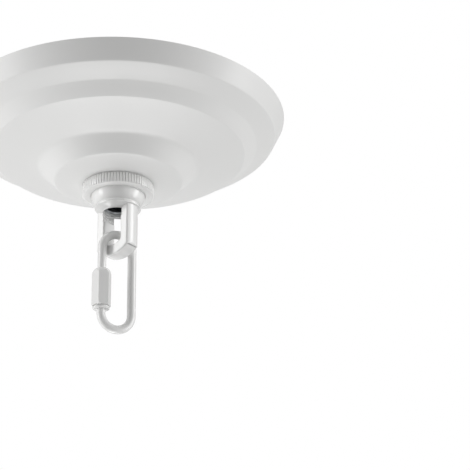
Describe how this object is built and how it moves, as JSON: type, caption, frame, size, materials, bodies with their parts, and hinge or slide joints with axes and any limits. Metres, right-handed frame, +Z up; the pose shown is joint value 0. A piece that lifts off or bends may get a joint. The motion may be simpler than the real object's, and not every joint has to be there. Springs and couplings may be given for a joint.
{
  "type": "electrical ceiling rose",
  "caption": "Round stepped ceiling canopy with a knurled ring nut, a screw-collar loop and a quick link for hanging a light.",
  "frame": {"origin": "centre of the canopy's rim, in the plane that meets the ceiling; the crossbar's top face is in the same plane", "axes": "+Z up into the ceiling along the threaded tube, +X along the crossbar, the part hangs towards -Z"},
  "size_m": [0.15, 0.15, 0.1191],
  "materials": {
    "canopy_white": "satin white powder coat on steel",
    "gloss_white": "gloss white enamel on steel",
    "zinc_steel": "bright zinc plate",
    "earth_green": "green dyed zinc plate",
    "brass": "turned brass",
    "block_plastic": "moulded nylon",
    "bush_plastic": "moulded black plastic"
  },
  "bodies": {
    "bracket": {"crossbar": "zinc_steel", "box_screw_left": "zinc_steel", "box_screw_right": "zinc_steel", "earth_screw": "earth_green", "earth_cup_washer": "zinc_steel", "terminal_block_housing": "block_plastic", "terminal_live": "brass", "terminal_neutral": "brass", "terminal_earth": "brass", "clamp_screw_live_front": "brass", "clamp_screw_live_back": "brass", "clamp_screw_neutral_front": "brass", "clamp_screw_neutral_back": "brass", "clamp_screw_earth_front": "brass", "clamp_screw_earth_back": "brass", "block_screw_inner": "zinc_steel", "block_screw_outer": "zinc_steel", "threaded_nipple": "zinc_steel", "nipple_bush": "bush_plastic", "upper_lock_nut": "zinc_steel", "upper_lock_washer": "zinc_steel", "lower_lock_nut": "zinc_steel", "lower_lock_washer": "zinc_steel", "collar_loop": "gloss_white"},
    "canopy": {"canopy": "canopy_white"},
    "ring": {"collar_ring": "gloss_white"},
    "link": {"link_body": "gloss_white"},
    "link_nut": {"link_nut": "gloss_white"}
  },
  "joints": [
    {"name": "canopy_drop", "type": "slide", "parent": "bracket", "child": "canopy", "axis": [0, 0, -1], "range_m": [0, 0.006]},
    {"name": "ring_spin", "type": "hinge", "parent": "canopy", "child": "ring", "pos_m": [0, 0, -0.0349], "axis": [0, 0, -1], "range_deg": [0, 1441]},
    {"name": "link_swing", "type": "hinge", "parent": "bracket", "child": "link", "pos_m": [0.0001, 0, -0.0637], "axis": [0.342, -0.9397, 0], "range_deg": [-60, 110]},
    {"name": "nut_travel", "type": "slide", "parent": "link", "child": "link_nut", "axis": [0, 0, 1], "range_m": [0, 0.006]}
  ],
  "couplings": [
    {"joint": "ring_spin", "follows": "canopy_drop", "rad_per_m": 4188.8}
  ]
}
